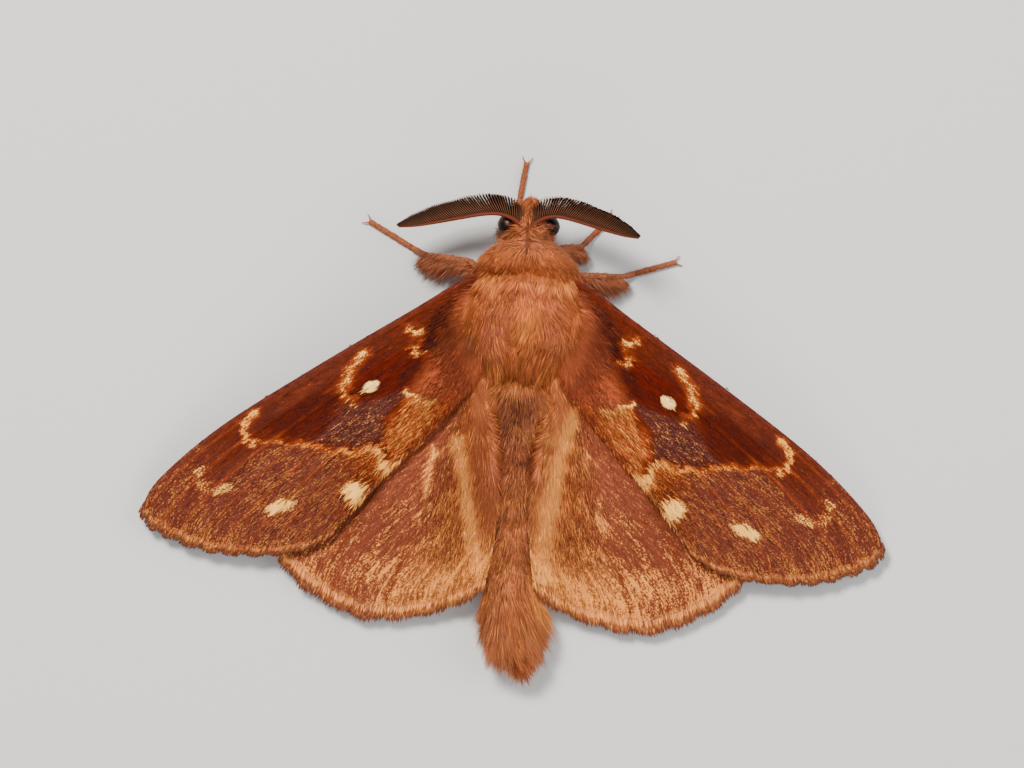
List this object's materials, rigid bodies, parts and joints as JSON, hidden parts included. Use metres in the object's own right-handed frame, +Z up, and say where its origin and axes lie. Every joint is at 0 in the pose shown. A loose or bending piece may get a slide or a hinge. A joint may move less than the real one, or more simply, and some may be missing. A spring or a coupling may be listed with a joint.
{
  "type": "moth",
  "caption": "Life-size still moth standing on its feet, wings half spread over a furry body, with comb-like antennae, snout palps, dark eyes and fringed legs.",
  "frame": {"origin": "under the middle of the model's box, on the plane that its feet stand on", "axes": "+X to the moth's right, +Y towards its head, +Z up"},
  "size_m": [0.0602, 0.0426, 0.0091],
  "materials": {
    "thorax_fur": "dense, soft orange-brown fur",
    "head_fur": "short orange-brown fur",
    "abdomen_fur": "brown fur with a paler tail tuft",
    "palps": "close brown hair",
    "eyes": "glossy, almost black",
    "antennae": "dark brown, dull",
    "forewing_scales": "matt wing scales in red-brown, dark brown and cream",
    "hindwing_scales": "matt wing scales in warm brown",
    "legs": "brown, haired, with smooth claws"
  },
  "bodies": {
    "root": {"abdomen": "abdomen_fur", "antenna_left": "antennae", "antenna_right": "antennae", "eye_left": "eyes", "eye_right": "eyes", "foreleg_left": "legs", "foreleg_right": "legs", "forewing_left": "forewing_scales", "forewing_right": "forewing_scales", "head": "head_fur", "hindleg_left": "legs", "hindleg_right": "legs", "hindwing_left": "hindwing_scales", "hindwing_right": "hindwing_scales", "midleg_left": "legs", "midleg_right": "legs", "palp_left": "palps", "palp_right": "palps", "thorax": "thorax_fur"}
  },
  "joints": []
}
